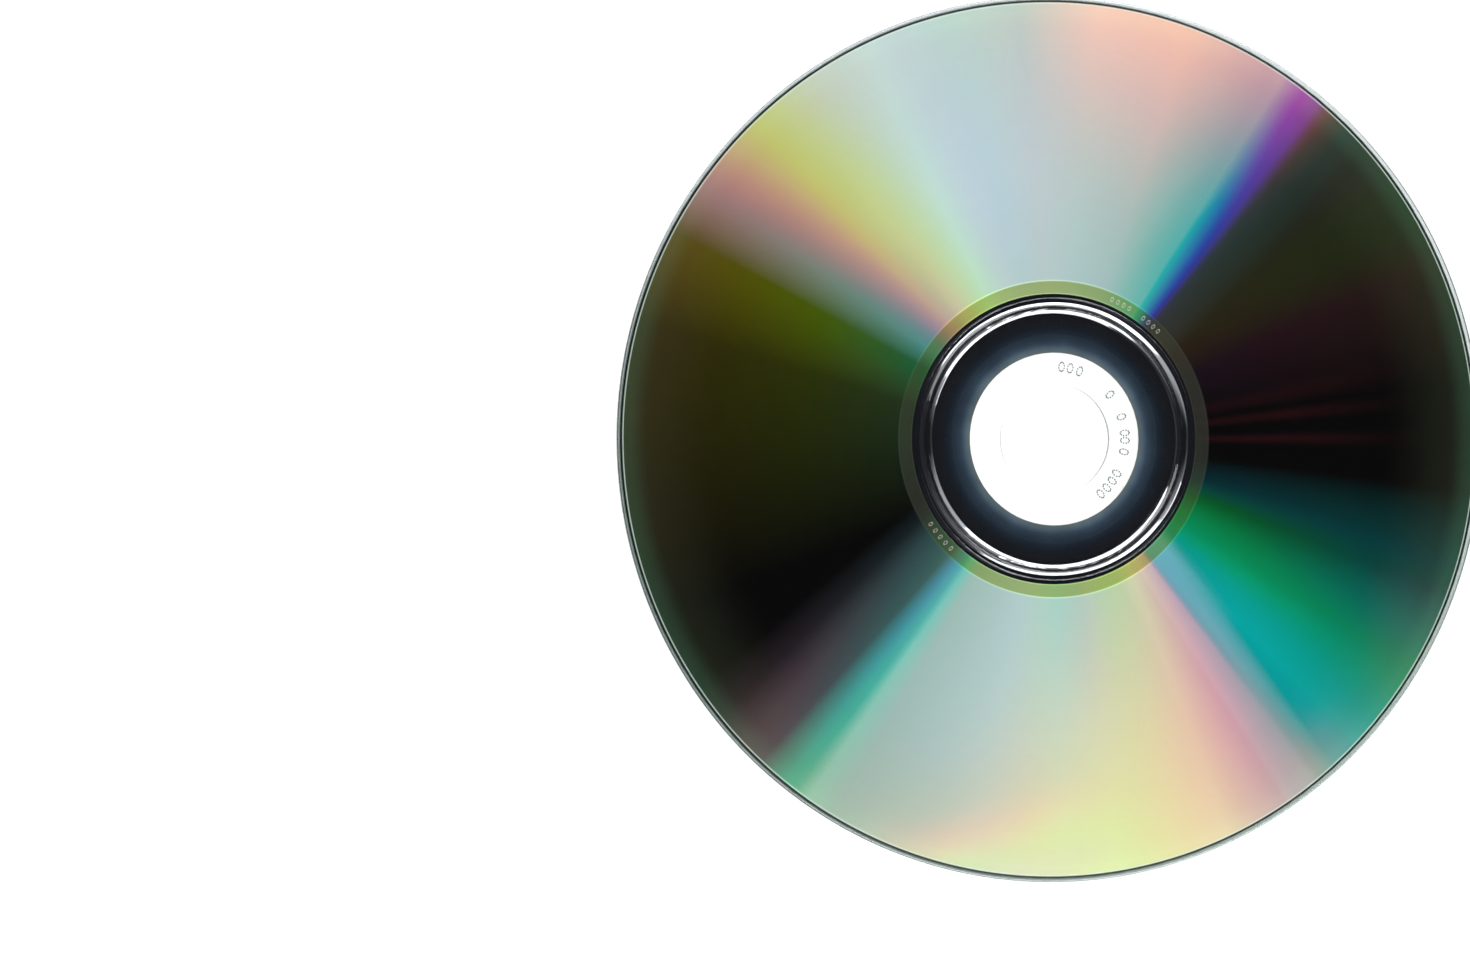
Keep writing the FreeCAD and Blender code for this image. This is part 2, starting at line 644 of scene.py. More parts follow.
    def light_at(self, wiring: Wiring, given: Sockets, fan: Fan) -> Sockets:
        """Reads a fan's light at an angle.

        Args:
            wiring: the fan's wiring.
            given: its inputs.
            fan: the fan.

        Returns:
            The near edge as Red, the far edge as Green and the brightness as Blue, each as a share of
            the most that it can be.
        """
        width = fan.end - fan.start
        opened: Value = width
        if fan.flare > 0.0:
            wider = wiring.math("DIVIDE", 2.0 * fan.flare, given["Radius"])
            opened = wiring.math("ADD", wider, width - 2.0 * fan.flare / self.middle_radius)
        off_middle = wiring.math("SUBTRACT", given["Angle"], (fan.start + fan.end) / 2.0)
        share = wiring.math("ADD", wiring.math("DIVIDE", off_middle, opened), 0.5)
        first, last = fan.slices[0], fan.slices[-1]
        dark_start = Slice(fan.start, first.near, first.far, 0.0)
        dark_end = Slice(fan.end, last.near, last.far, 0.0)
        stops = [((here.angle - fan.start) / width,
                  (here.near / self.MOST_REACH, here.far / self.MOST_REACH, here.bright / self.MOST_BRIGHT))
                 for here in (dark_start, *fan.slices, dark_end)]
        light = wiring.ramp(share, stops)
        parts = wiring.node("ShaderNodeSeparateColor")
        wiring.feed(parts.inputs["Color"], light)
        return parts.outputs

    def fan_group(self, fan: Fan, summed: Tree) -> Tree:
        """Builds the group for one fan.

        Args:
            fan: the fan.
            summed: the group for the spectrum added up to a distance.

        Returns:
            The group, which takes an angle in degrees, a radius and the mirror direction's move.
        """
        wiring, given, out = shader_group(
            f"Fan {fan.name}", {"Angle": "Float", "Radius": "Float", "Move": "Float"}, {"Colour": "Color"})
        light = self.light_at(wiring, given, fan)
        move = wiring.math("MULTIPLY", given["Move"], fan.side.value * fan.pace)
        near = wiring.math("MULTIPLY_ADD", light["Red"], self.MOST_REACH, move)
        far = wiring.math("MULTIPLY_ADD", light["Green"], self.MOST_REACH, move)
        inner = wiring.group(summed, Distance=near)["Colour"]
        outer = wiring.group(summed, Distance=far)["Colour"]
        between = wiring.mix(1.0, outer, inner, "SUBTRACT")
        kept = wiring.mix(1.0, between, BLACK, "LIGHTEN")
        bright = wiring.math("MULTIPLY", light["Blue"], self.MOST_BRIGHT)
        if fan.inner > 0.0:
            begun = wiring.step(given["Radius"], fan.inner - self.fade_in, fan.inner + self.fade_in)
            bright = wiring.math("MULTIPLY", bright, begun)
        wiring.feed(out["Colour"], wiring.weighted(kept, bright))
        return wiring.tree

    def group(self) -> Tree:
        """Builds the group for the whole rainbow.

        Returns:
            The group, which takes a radius in millimetres and an angle in degrees.
        """
        summed = self.summed_group()
        wiring, given, out = shader_group(
            "Groove rainbow", {"Radius": "Float", "Angle": "Float"}, {"Colour": "Color"})
        move = wiring.math("MULTIPLY", given["Radius"], self.spread)
        total: object = BLACK
        for fan in self.fans:
            part = wiring.group(self.fan_group(fan, summed), Angle=given["Angle"],
                                Radius=given["Radius"], Move=move)
            total = wiring.mix(1.0, total, part["Colour"], "ADD")
        wiring.feed(out["Colour"], wiring.vector("MULTIPLY_ADD", total, self.tint, self.haze))
        return wiring.tree


@dataclass
class Workshop:
    """The node groups that the materials share, each built once.

    Attributes:
        place: where a point of the disc is.
        ripple: fine rings round the axis.
        handling: traces of handling.
    """

    place: Tree = field(default_factory=place_group)
    ripple: Tree = field(default_factory=ripple_group)
    handling: Tree = field(default_factory=Handling().group)


def new_material(name: str) -> tuple[bpy.types.Material, Wiring, bpy.types.Node]:
    """Starts a material.

    Args:
        name: the material's name.

    Returns:
        The material, its wiring and its Principled BSDF.
    """
    material = bpy.data.materials.new(name)
    material.use_nodes = True
    wiring = Wiring(material.node_tree)
    return material, wiring, material.node_tree.nodes["Principled BSDF"]


@dataclass(frozen=True)
class ClearPlastic:
    """Moulded polycarbonate, clear as glass, with a few faint traces of handling and painted shade at its
    rim, darker on the near side.

    Attributes:
        name: the material's name.
        colour: its colour inside the rim.
        far_rim_shade: its colour at the rim's far side, with painted shade.
        near_rim_shade: its colour at the rim's near side, with darker painted shade.
        rim_blend: how far to the back and to the front of the middle the rim has these two colours.
        rim_edge: radius round which the plate takes on the rim's colour.
        rim_soft: how far inside and how far outside this radius that change reaches.
        ior: its index of refraction.
        roughness: how rough its surface is.
        scratches: how much rougher a scratch makes it.
        smears: how much rougher a smear makes it.
        shadow: the light that it lets through in a shadow.
    """

    name: str = "clear_polycarbonate"
    colour: Colour = (0.985, 0.995, 0.99)
    far_rim_shade: Colour = (0.58, 0.61, 0.62)
    near_rim_shade: Colour = (0.33, 0.39, 0.36)
    rim_blend: float = 35.0
    rim_edge: float = 59.5
    rim_soft: Span = (0.1, 0.05)
    ior: float = 1.585
    roughness: float = 0.003
    scratches: float = 0.002
    smears: float = 0.003
    shadow: Colour = (0.97, 0.985, 0.98)

    def make(self, shop: Workshop) -> bpy.types.Material:
        """Builds the material.

        Args:
            shop: the shared node groups.

        Returns:
            The material.
        """
        material, wiring, shader = new_material(self.name)
        place = wiring.group(shop.place)
        traces = wiring.group(shop.handling, Flat=place["Flat"], Scratches=self.scratches, Smears=self.smears)
        rough = wiring.math("ADD", self.roughness, traces["Smear"])
        wiring.feed(shader.inputs["Roughness"], wiring.math("ADD", rough, traces["Mark"]))
        axes = wiring.axes(place["Flat"])
        # Painted shade: the rim is greyed, darker on the near side than on the far side.
        front = wiring.step(axes["Y"], self.rim_blend, -self.rim_blend)
        rim = wiring.mix(front, self.far_rim_shade, self.near_rim_shade)
        inwards, outwards = self.rim_soft
        outside = wiring.step(place["Radius"], self.rim_edge - inwards, self.rim_edge + outwards)
        wiring.feed(shader.inputs["Base Color"], wiring.mix(outside, self.colour, rim))
        shader.inputs["IOR"].default_value = self.ior
        shader.inputs["Transmission Weight"].default_value = 1.0
        path = wiring.node("ShaderNodeLightPath")
        through = wiring.math("MAXIMUM", path.outputs["Is Shadow Ray"], path.outputs["Is Diffuse Ray"])
        clear = wiring.node("ShaderNodeBsdfTransparent")
        clear.inputs["Color"].default_value = (*self.shadow, 1.0)
        mixer = wiring.node("ShaderNodeMixShader")
        wiring.feed(mixer.inputs[0], through)
        wiring.feed(mixer.inputs[1], shader.outputs[0])
        wiring.feed(mixer.inputs[2], clear.outputs[0])
        wiring.feed(material.node_tree.nodes["Material Output"].inputs["Surface"], mixer.outputs[0])
        return material


@dataclass(frozen=True)
class Hairline:
    """A thin line round the disc beside an edge.

    Attributes:
        offset: how far its middle lies outside the edge.
        half: half its width.
        strength: how strong it is.
    """

    offset: float
    half: float
    strength: float

    def mask(self, wiring: Wiring, radius: Socket, edge: float) -> Socket:
        """Where the line is, beside an edge with the given radius."""
        return wiring.math("MULTIPLY", wiring.bell(radius, edge + self.offset, self.half), self.strength)


@dataclass(frozen=True)
class Ray:
    """A faint ray of painted diffraction light that runs outwards from the hub.

    Attributes:
        angle: the angle of its middle, counter-clockwise from +X.
        half: half its width, in degrees.
        strength: how strong it is.
    """

    angle: float
    half: float
    strength: float


@dataclass(frozen=True)
class DyeAndPaintedRainbow:
    """The dye over its metal: its own tint under a painted rainbow, a painted reflection of the lamps that
    the groove spreads, with a plain olive band at its inner edge that takes part of that painted light.

    Attributes:
        name: the material's name.
        inner_edge: radius of the dye's inner edge.
        band_edge: radius where the plain band ends and the groove begins.
        outer_edge: radius of the dye's outer edge.
        strength: how much of the rainbow's brightness the colour takes, which the lamps set.
        fall_start: radius from which the field grows weaker.
        rim_fall: how much weaker it is at its outer edge.
        sheen: how much of the film acts as metal.
        roughness: how rough the film is.
        smears: how much rougher a smear makes it.
        rainbow: the groove's colours, painted light.
        rings_per_mm: how fine the rings in the film are.
        ring_strength: how strong they are.
        band_tint: how much of the groove's colours the plain band has.
        band_haze: the dull light that the band sends back.
        band_soft: half the width over which the band turns into the groove.
        inner_line: the painted highlight, a bright hairline, at the dye's inner edge.
        band_line: the painted highlight, a bright hairline, at the band's outer edge.
        painted_edge_highlight: the painted light of these two hairlines.
        faintest_edge_highlight: how much of it they have where the painted rainbow is dark.
        outer_haze: the dull light of the field's outer part.
        outer_haze_span: radii where it begins and where it is full.
        rim_haze: the dull light near the dye's outer edge.
        rim_haze_start: radius where it begins.
        rim_haze_inset: how far inside that edge it is full.
        rim_line: the pale hairline near the dye's outer edge.
        rim_line_colour: its colour.
        rim_painted_shade: the colour of the painted shade, a dark edge outside it.
        rim_painted_shade_span: how far inside the dye's outer edge the painted shade begins and is full.
        rays: the dark red rays of painted diffraction light on the right-hand side.
        ray_colour: their colour.
        ray_span: radii where they end and where they are full.
        ray_grain: how many times in a degree they change in strength.
    """

    name: str = "recording_dye"
    inner_edge: float = 19.7
    band_edge: float = 21.5
    outer_edge: float = 59.3
    strength: float = 0.715
    fall_start: float = 34.0
    rim_fall: float = 0.09
    sheen: float = 0.35
    roughness: float = 0.22
    smears: float = 0.015
    rainbow: Rainbow = Rainbow()
    rings_per_mm: float = 1.7
    ring_strength: float = 0.03
    band_tint: Colour = (0.65, 0.67, 0.27)
    band_haze: Colour = (0.022, 0.024, 0.020)
    band_soft: float = 0.12
    inner_line: Hairline = Hairline(offset=0.06, half=0.12, strength=0.6)
    band_line: Hairline = Hairline(offset=0.0, half=0.16, strength=0.6)
    painted_edge_highlight: Colour = (0.32, 0.32, 0.26)
    faintest_edge_highlight: Colour = (0.07, 0.07, 0.07)
    outer_haze: Colour = (0.013, 0.015, 0.008)
    outer_haze_span: Span = (46.0, 58.5)
    rim_haze: Colour = (0.012, 0.038, 0.022)
    rim_haze_start: float = 55.5
    rim_haze_inset: float = 0.4
    rim_line: Hairline = Hairline(offset=-0.20, half=0.13, strength=0.75)
    rim_line_colour: Colour = (0.50, 0.58, 0.52)
    rim_painted_shade: Colour = (0.022, 0.052, 0.036)
    rim_painted_shade_span: Span = (0.12, 0.02)
    rays: tuple[Ray, ...] = (Ray(0.3, 1.9, 0.75), Ray(6.2, 2.0, 0.7), Ray(11.2, 3.0, 0.4))
    ray_colour: Colour = (0.017, 0.002, 0.003)
    ray_span: Span = (54.0, 32.0)
    ray_grain: float = 3.0

    def make(self, shop: Workshop) -> bpy.types.Material:
        """Builds the material.

        Args:
            shop: the shared node groups.

        Returns:
            The material.
        """
        material, wiring, shader = new_material(self.name)
        place = wiring.group(shop.place)
        radius, angle = place["Radius"], place["Angle"]
        # Painted light: the rainbow is a painted reflection of the lamps, fixed in the base colour.
        groove = wiring.group(self.rainbow.group(), Radius=radius, Angle=angle)["Colour"]
        colour = wiring.vector("MULTIPLY_ADD", self.ray_mask(wiring, radius, angle), self.ray_colour, groove)
        colour = self.banded(wiring, radius, self.hazed(wiring, radius, colour))
        rings = wiring.group(shop.ripple, Radius=radius, Rings_per_mm=self.rings_per_mm,
                             Strength=self.ring_strength)
        traces = wiring.group(shop.handling, Flat=place["Flat"], Smears=self.smears)
        outwards = wiring.step(radius, self.fall_start, self.outer_edge)
        fall = wiring.math("MULTIPLY_ADD", outwards, -self.rim_fall, 1.0)
        level = wiring.math("MULTIPLY", wiring.math("MULTIPLY", rings["Shade"], self.strength), fall)
        wiring.feed(shader.inputs["Base Color"], self.rimmed(wiring, radius, wiring.scaled(colour, level)))
        shader.inputs["Metallic"].default_value = self.sheen
        shader.inputs["Specular IOR Level"].default_value = 0.0
        wiring.feed(shader.inputs["Roughness"], wiring.math("ADD", traces["Smear"], self.roughness))
        return material

    def ray_mask(self, wiring: Wiring, radius: Socket, angle: Socket) -> Socket:
        """Draws the faint dark red rays of painted diffraction light, in the dark of the right-hand side.

        Args:
            wiring: the material's wiring.
            radius: the radius in millimetres.
            angle: the angle in degrees.

        Returns:
            Their strength.
        """
        turned = wiring.math("FLOORED_MODULO", wiring.math("ADD", angle, HALF_TURN), FULL_TURN)
        total: Value = 0.0
        for ray in self.rays:
            bell = wiring.bell(turned, HALF_TURN + ray.angle, ray.half)
            total = wiring.math("MULTIPLY_ADD", bell, ray.strength, total)
        uneven = wiring.math("ADD", wiring.noise(turned, self.ray_grain), 0.5)
        inner = wiring.step(radius, *self.ray_span)
        return wiring.math("MULTIPLY", wiring.math("MULTIPLY", total, uneven), inner)

    def hazed(self, wiring: Wiring, radius: Socket, colour: Socket) -> Socket:
        """Adds the dull light of the outer part and of the rim.

        Args:
            wiring: the material's wiring.
            radius: the radius in millimetres.
            colour: the groove's colours.

        Returns:
            The colours with the dull light.
        """
        outer = wiring.step(radius, *self.outer_haze_span)
        colour = wiring.vector("MULTIPLY_ADD", outer, self.outer_haze, colour)
        rim = wiring.step(radius, self.rim_haze_start, self.outer_edge - self.rim_haze_inset)
        return wiring.vector("MULTIPLY_ADD", rim, self.rim_haze, colour)

    def banded(self, wiring: Wiring, radius: Socket, groove: Socket) -> Socket:
        """Puts the plain band inside the groove's colours, with a painted highlight, a bright hairline, at
        both its edges.

        Args:
            wiring: the material's wiring.
            radius: the radius in millimetres.
            groove: the groove's colours.

        Returns:
            The whole field's colour.
        """
        band = wiring.vector("MULTIPLY_ADD", groove, self.band_tint, self.band_haze)
        grooved = wiring.step(radius, self.band_edge - self.band_soft, self.band_edge + self.band_soft)
        colour = wiring.mix(grooved, band, groove)
        # Painted highlight: each hairline brightens in step with the painted rainbow there.
        for edge, line in ((self.inner_edge, self.inner_line), (self.band_edge, self.band_line)):
            glow = wiring.mix(1.0, colour, self.painted_edge_highlight, "ADD")
            lit = wiring.vector("MULTIPLY", glow, wiring.vector("ADD", groove, self.faintest_edge_highlight))
            brighter = wiring.vector("ADD", lit, colour)
            colour = wiring.mix(line.mask(wiring, radius, edge), colour, brighter)
        return colour

    def rimmed(self, wiring: Wiring, radius: Socket, colour: Socket) -> Socket:
        """Puts a pale hairline and then a painted shade, a dark edge, at the film's outer end.

        Args:
            wiring: the material's wiring.
            radius: the radius in millimetres.
            colour: the field's colours.

        Returns:
            The colour with the film's edge.
        """
        start, full = self.rim_painted_shade_span
        line = self.rim_line.mask(wiring, radius, self.outer_edge)
        lit = wiring.mix(line, colour, self.rim_line_colour)
        # Painted shade: the dark edge at the film's outer end.
        dark = wiring.step(radius, self.outer_edge - start, self.outer_edge - full)
        return wiring.mix(dark, lit, self.rim_painted_shade)


@dataclass(frozen=True)
class MirrorMetal:
    """The metal film: a mirror that grows thin and bluish towards the hub, where the table glows through.

    Attributes:
        name: the material's name.
        hub_edge: radius of the film's inner edge.
        silver: the mirror's own colour.
        thin_silver: its colour near the hub, where it is thin.
        thin_span: radii between which that colour gives way to the mirror's own.
        glow: the light that comes through the film at given radii, from the hub outwards.
        cloud_scale: scale of the clouds in that light.
        cloud_detail: how many finer layers they have.
        mirror_start: how far outside the hub's edge the mirror begins.
        solid: radius from which the film is thick.
        mould_ring: radius of a faint ring that the mould leaves.
        mould_ring_half: half its width.
        mould_ring_strength: how strong it is.
        roughness: how rough the film is.
        smears: how much rougher a smear makes it.
    """

    name: str = "mirror_metal"
    hub_edge: float = 11.7
    silver: Colour = (0.37, 0.38, 0.41)
    thin_silver: Colour = (0.24, 0.38, 0.55)
    thin_span: Span = (14.0, 16.4)
    glow: tuple[tuple[float, Colour], ...] = (
        (11.7, (0.068, 0.092, 0.100)),
        (12.2, (0.052, 0.072, 0.086)),
        (12.6, (0.036, 0.050, 0.068)),
        (12.85, (0.022, 0.033, 0.050)),
        (13.2, (0.016, 0.025, 0.038)),
        (13.6, (0.012, 0.018, 0.029)),
        (14.4, (0.005, 0.008, 0.012)),
        (15.2, (0.001, 0.002, 0.004)),
        (16.8, (0.000, 0.000, 0.001)),
    )
    cloud_scale: float = 0.22
    cloud_detail: float = 3.0
    mirror_start: float = 0.2
    solid: float = 15.5
    mould_ring: float = 14.1
    mould_ring_half: float = 0.15
    mould_ring_strength: float = 0.35
    roughness: float = 0.03
    smears: float = 0.01

    THIRDS = (1.0 / 3.0,) * 3

    def make(self, shop: Workshop) -> bpy.types.Material:
        """Builds the material.

        Args:
            shop: the shared node groups.

        Returns:
            The material, which is as metallic as the mirror's share of its light.
        """
        material, wiring, shader = new_material(self.name)
        place = wiring.group(shop.place)
        radius = place["Radius"]
        width = self.glow[-1][0] - self.hub_edge
        share = wiring.math("DIVIDE", wiring.math("SUBTRACT", radius, self.hub_edge), width, clamp=True)
        stops = [((place_of - self.hub_edge) / width, colour) for place_of, colour in self.glow]
        thin = wiring.ramp(share, stops)
        clouds = wiring.noise(place["Flat"], self.cloud_scale, self.cloud_detail)
        uneven = wiring.math("ADD", clouds, 0.5)
        ring = wiring.bell(radius, self.mould_ring, self.mould_ring_half)
        glow = wiring.scaled(thin, wiring.math("MULTIPLY_ADD", ring, self.mould_ring_strength, uneven))
        metal = wiring.mix(wiring.step(radius, *self.thin_span), self.thin_silver, self.silver)
        mirror = wiring.scaled(metal, wiring.step(radius, self.hub_edge + self.mirror_start, self.solid))
        both = wiring.vector("ADD", glow, mirror)
        wiring.feed(shader.inputs["Base Color"], both)
        mirror_light = wiring.measure("DOT_PRODUCT", mirror, self.THIRDS)
        all_light = wiring.measure("DOT_PRODUCT", both, self.THIRDS)
        wiring.feed(shader.inputs["Metallic"], wiring.math("DIVIDE", mirror_light, all_light))
        shader.inputs["Specular IOR Level"].default_value = 0.0
        traces = wiring.group(shop.handling, Flat=place["Flat"], Smears=self.smears)
        wiring.feed(shader.inputs["Roughness"], wiring.math("ADD", traces["Smear"], self.roughness))
        return material


@dataclass(frozen=True)
class PrintableWhite:
    """The white coat that takes ink: warm, matt, with a fine grain and a faint ring where the dye ends.

    Attributes:
        name: the material's name.
        colour: the coat's colour under the dye.
        inner_colour: its colour nearer the hub.
        lacquer: the colour of the bare lacquer, which goes on past the coat to seal the film's edge.
        dye_edge: radius of the dye's inner edge.
        dye_soft: half the width over which the colour changes there.
        seam_half: half the width of the faint ring there.
        seam_depth: how much darker the ring is.
        coat_end: radius where the coat ends and only lacquer goes on.
        coat_soft: the width over which it ends.
        grain_scale: scale of the grain.
        grain_detail: how many finer layers it has.
        mottle: how much the grain changes the colour.
        roughness: how rough the coat is.
        grain_roughness: how much rougher the grain makes it.
        bump_strength: how strongly the grain's bumps show.
        bump_depth: how deep they are.
    """

    name: str = "white_label"
    colour: Colour = (0.70, 0.66, 0.61)
    inner_colour: Colour = (0.72, 0.67, 0.62)
    lacquer: Colour = (0.10, 0.125, 0.115)
    dye_edge: float = 19.7
    dye_soft: float = 0.3
    seam_half: float = 0.35
    seam_depth: float = 0.05
    coat_end: float = 59.5
    coat_soft: float = 0.03
    grain_scale: float = 9.0
    grain_detail: float = 4.0
    mottle: float = 0.06
    roughness: float = 0.5
    grain_roughness: float = 0.15
    bump_strength: float = 0.15
    bump_depth: float = 0.01

    def make(self, shop: Workshop) -> bpy.types.Material:
        """Builds the material.

        Args:
            shop: the shared node groups.

        Returns:
            The material.
        """
        material, wiring, shader = new_material(self.name)
        place = wiring.group(shop.place)
        radius = place["Radius"]
        inside = wiring.step(radius, self.dye_edge + self.dye_soft, self.dye_edge - self.dye_soft)
        coat = wiring.mix(inside, self.colour, self.inner_colour)
        lip = wiring.step(radius, self.coat_end - self.coat_soft, self.coat_end)
        colour = wiring.mix(lip, coat, self.lacquer)
        seam = wiring.bell(radius, self.dye_edge, self.seam_half)
        shade = wiring.math("MULTIPLY_ADD", seam, -self.seam_depth, 1.0)
        grain = wiring.noise(place["Flat"], self.grain_scale, self.grain_detail)
        centred = wiring.math("SUBTRACT", grain, 0.5)
        mottled = wiring.math("MULTIPLY_ADD", centred, self.mottle, shade)
        wiring.feed(shader.inputs["Base Color"], wiring.scaled(colour, mottled))
        rough = wiring.math("MULTIPLY_ADD", grain, self.grain_roughness, self.roughness)
        wiring.feed(shader.inputs["Roughness"], rough)
        bump = wiring.node("ShaderNodeBump")
        bump.inputs["Strength"].default_value = self.bump_strength
        bump.inputs["Distance"].default_value = self.bump_depth * MM
        wiring.feed(bump.inputs["Height"], grain)
        wiring.feed(shader.inputs["Normal"], bump.outputs["Normal"])
        return material


@dataclass(frozen=True)
class UnevenPaint:
    """A plain matt finish whose colour is a little uneven.

    Attributes:
        name: the material's name.
        colour: its colour.
        cloud_scale: scale of the clouds in it.
        cloud_strength: how much the clouds change the colour, up and down.
        roughness: how rough it is.
    """

    name: str
    colour: Colour
    cloud_scale: float
    cloud_strength: float
    roughness: float

    def make(self, shop: Workshop) -> bpy.types.Material:
        """Builds the material.

        Args:
            shop: the shared node groups.

        Returns:
            The material.
        """
        material, wiring, shader = new_material(self.name)
        clouds = wiring.noise(wiring.group(shop.place)["Flat"], self.cloud_scale)
        shade = wiring.math("MULTIPLY_ADD", clouds, 2.0 * self.cloud_strength, 1.0 - self.cloud_strength)
        wiring.feed(shader.inputs["Base Color"], wiring.scaled(self.colour, shade))
        shader.inputs["Roughness"].default_value = self.roughness
        return material


ETCHED_GREY = UnevenPaint("etched_grey", (0.03, 0.03, 0.035), 6.0, 0.3, 0.6)
ETCHED_PALE = UnevenPaint("etched_pale", (0.46, 0.42, 0.40), 6.0, 0.3, 0.6)
PALE_TABLE = UnevenPaint("pale_table", (0.76, 0.76, 0.76), 0.02, 0.01, 0.8)


def geometry_tree(name: str, inputs: dict[str, tuple[str, object]]) -> tuple[Wiring, Sockets, Sockets]:
    """Starts a Geometry Nodes tree with a geometry input and output.

    Args:
        name: the tree's name.
        inputs: each further input's name, with its kind and default value.

    Returns:
        Its wiring, its input sockets and its output sockets, by name.
    """
    tree = bpy.data.node_groups.new(name, "GeometryNodeTree")
    tree.interface.new_socket("Geometry", in_out="INPUT", socket_type="NodeSocketGeometry")
    tree.interface.new_socket("Geometry", in_out="OUTPUT", socket_type="NodeSocketGeometry")
    for label, (kind, default) in inputs.items():
        socket = tree.interface.new_socket(label, in_out="INPUT", socket_type="NodeSocket" + kind)
        if default is not None:
            socket.default_value = default
    wiring = Wiring(tree)
    return wiring, wiring.node("NodeGroupInput").outputs, wiring.node("NodeGroupOutput").inputs


def end_tree(wiring: Wiring, shape: Socket, given: Sockets, out: Sockets) -> None:
    """Ends a Geometry Nodes tree with its finish.

    Args:
        wiring: the tree's wiring.
        shape: the finished shape.
        given: the tree's inputs, with the material as Finish.
        out: its outputs.
    """
    finish = wiring.node("GeometryNodeSetMaterial")
    wiring.feed(finish.inputs["Geometry"], shape)
    wiring.feed(finish.inputs["Material"], given["Finish"])
    wiring.feed(out["Geometry"], finish.outputs["Geometry"])


def base_mesh(name: str, points: list[Place], edges: list[tuple[int, int]],
              label: str, numbers: list[float]) -> bpy.types.Mesh:
    """Makes a mesh of points and edges for a Geometry Nodes tree to start from.

    Args:
        name: the mesh's name.
        points: its points, in metres.
        edges: its edges, as pairs of points.
        label: the name of the number that each point carries.
        numbers: that number for each point.

    Returns:
        The mesh.
    """
    mesh = bpy.data.meshes.new(name)
    mesh.from_pydata(points, edges, [])
    carried = mesh.attributes.new(label, "FLOAT", "POINT")
    for item, number in zip(carried.data, numbers):
        item.value = number
    return mesh


def grown(name: str, base: bpy.types.Mesh, tree: Tree, values: dict[str, object]) -> bpy.types.Object:
    """Runs a Geometry Nodes tree on a base mesh and keeps the result as a plain mesh.

    Args:
        name: the piece's name.
        base: the mesh that the tree starts from.
        tree: the Geometry Nodes tree.
        values: the tree's inputs, by name, with the piece's material as Finish.

    Returns:
        The piece, with no modifier on it.
    """
    piece = bpy.data.objects.new(name, base)
    bpy.context.scene.collection.objects.link(piece)
    modifier = piece.modifiers.new(tree.name, "NODES")
    modifier.node_group = tree
    for item in tree.interface.items_tree:
        if item.item_type == "SOCKET" and item.in_out == "INPUT" and item.name in values:
            modifier[item.identifier] = values[item.name]
    bpy.context.view_layer.update()
    done = bpy.data.meshes.new_from_object(piece.evaluated_get(bpy.context.evaluated_depsgraph_get()))
    piece.modifiers.clear()
    done.materials.clear()
    done.materials.append(values["Finish"])
    done.polygons.foreach_set("material_index", [0] * len(done.polygons))
    piece.data = done
    done.name = name
    return piece


